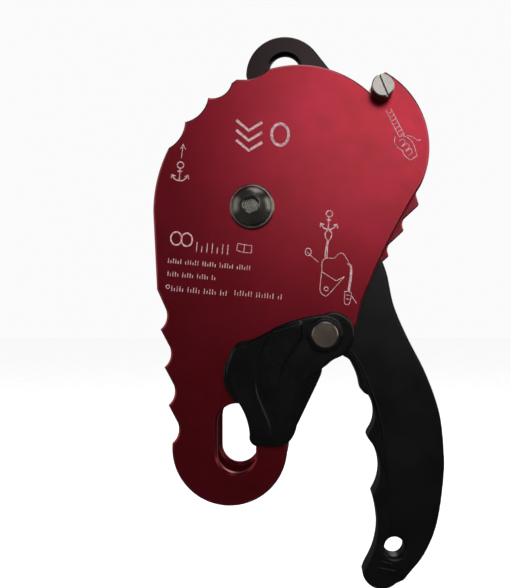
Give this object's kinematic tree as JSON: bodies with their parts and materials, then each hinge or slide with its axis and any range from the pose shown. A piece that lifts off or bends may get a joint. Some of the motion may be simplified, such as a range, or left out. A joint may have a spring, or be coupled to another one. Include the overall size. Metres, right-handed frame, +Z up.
{
  "type": "rope descender",
  "caption": "Hand-operated rope descender: two scalloped side plates, a rope cam on a bolt, a lever grip, a spring latch over the harness slot and a slotted post.",
  "frame": {"origin": "centre of the harness slot, midway between the two side plates", "axes": "+Z up along the slot as the device hangs in use, +X towards the handle, +Y from the moving side plate to the fixed side plate; seen from -Y the moving plate, bolt head and latch face the viewer"},
  "size_m": [0.1184, 0.0442, 0.2341],
  "materials": {
    "anodised_red": "satin red anodised",
    "stainless": "turned",
    "dark_steel": "polished and worn",
    "hard_steel": "ground",
    "zinc_steel": "zinc plated",
    "spring_steel": "drawn wire",
    "bronze": "sintered bearing bronze",
    "black_nylon": "moulded, fine grain",
    "black_latch": "moulded, semi gloss",
    "washer_polymer": "acetal"
  },
  "bodies": {
    "chassis": {"fixed_side_plate": "anodised_red", "main_axle_sleeve": "hard_steel", "main_bolt": "dark_steel", "main_bolt_washer": "dark_steel", "rear_washer": "zinc_steel", "main_lock_nut": "zinc_steel", "lock_nut_insert": "washer_polymer", "side_plate_friction_washer": "washer_polymer", "lever_thrust_washer": "washer_polymer", "cam_stop_pin": "hard_steel", "brake_shoe": "hard_steel", "brake_shoe_screws": "zinc_steel", "slotted_post": "stainless", "post_sleeve": "stainless", "post_rear_screw": "zinc_steel", "plate_spacer": "stainless", "spacer_screw": "zinc_steel"},
    "side_plate": {"moving_side_plate": "anodised_red", "side_plate_bushing": "bronze", "latch_pin": "stainless", "latch_stop_pin": "hard_steel"},
    "latch": {"latch": "black_latch", "latch_bushing": "bronze", "latch_spring": "spring_steel"},
    "cam": {"rope_cam": "hard_steel", "cam_bushing": "bronze", "cam_drive_pin": "hard_steel", "cam_return_spring": "spring_steel", "cam_shim_washer": "bronze"},
    "handle": {"handle_lever": "hard_steel", "lever_bushing": "bronze", "handle_grip": "black_nylon", "grip_screws": "zinc_steel"}
  },
  "joints": [
    {"name": "side_plate_swing", "type": "hinge", "parent": "chassis", "child": "side_plate", "pos_m": [0.0064, -0.011, 0.09275], "axis": [0, 1, 0], "range_deg": [0, 120]},
    {"name": "latch_swing", "type": "hinge", "parent": "side_plate", "child": "latch", "pos_m": [0.0354, -0.0155, 0.04155], "axis": [0, 1, 0], "range_deg": [0, 28], "stiffness_Nm_per_rad": 0.02, "springref_deg": -34.38, "deforming": ["latch_spring"]},
    {"name": "cam_turn", "type": "hinge", "parent": "chassis", "child": "cam", "pos_m": [0.0064, -0.002, 0.09275], "axis": [0, -1, 0], "range_deg": [0, 28], "stiffness_Nm_per_rad": 0.1, "springref_deg": -45.84, "deforming": ["cam_return_spring"]},
    {"name": "handle_overtravel", "type": "hinge", "parent": "cam", "child": "handle", "pos_m": [0.0064, 0.0065, 0.09275], "axis": [0, -1, 0], "range_deg": [0, 35]}
  ]
}
